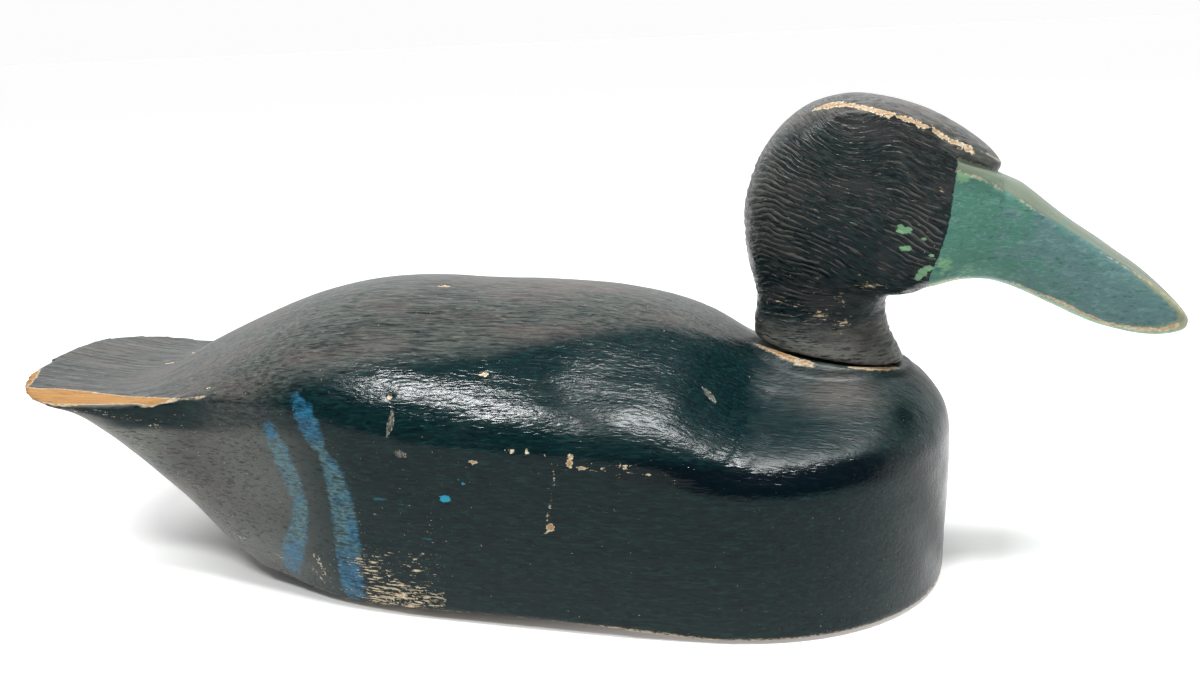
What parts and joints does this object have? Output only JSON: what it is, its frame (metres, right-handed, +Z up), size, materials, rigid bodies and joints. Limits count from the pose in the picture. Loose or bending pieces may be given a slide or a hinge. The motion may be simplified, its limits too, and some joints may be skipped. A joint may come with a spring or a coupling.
{
  "type": "duck decoy",
  "caption": "Carved wooden working duck decoy with a broad paddle tail and a long bill, painted near-black with a green bill and worn to bare wood at its edges.",
  "frame": {"origin": "on the flat underside, below the middle of the body", "axes": "+X towards the bill, +Y to the bird's left, +Z up"},
  "size_m": [0.4185, 0.1416, 0.1649],
  "materials": {
    "body_paint": "old semi-gloss near-black brushed paint on softwood, worn to bare orange wood at edges, with faint blue brush strokes near the tail",
    "head_paint": "old near-black paint with coarse rasp marks under it, and a chalky green painted bill with worn cream edges"
  },
  "bodies": {
    "root": {"body": "body_paint", "head": "head_paint"}
  },
  "joints": []
}
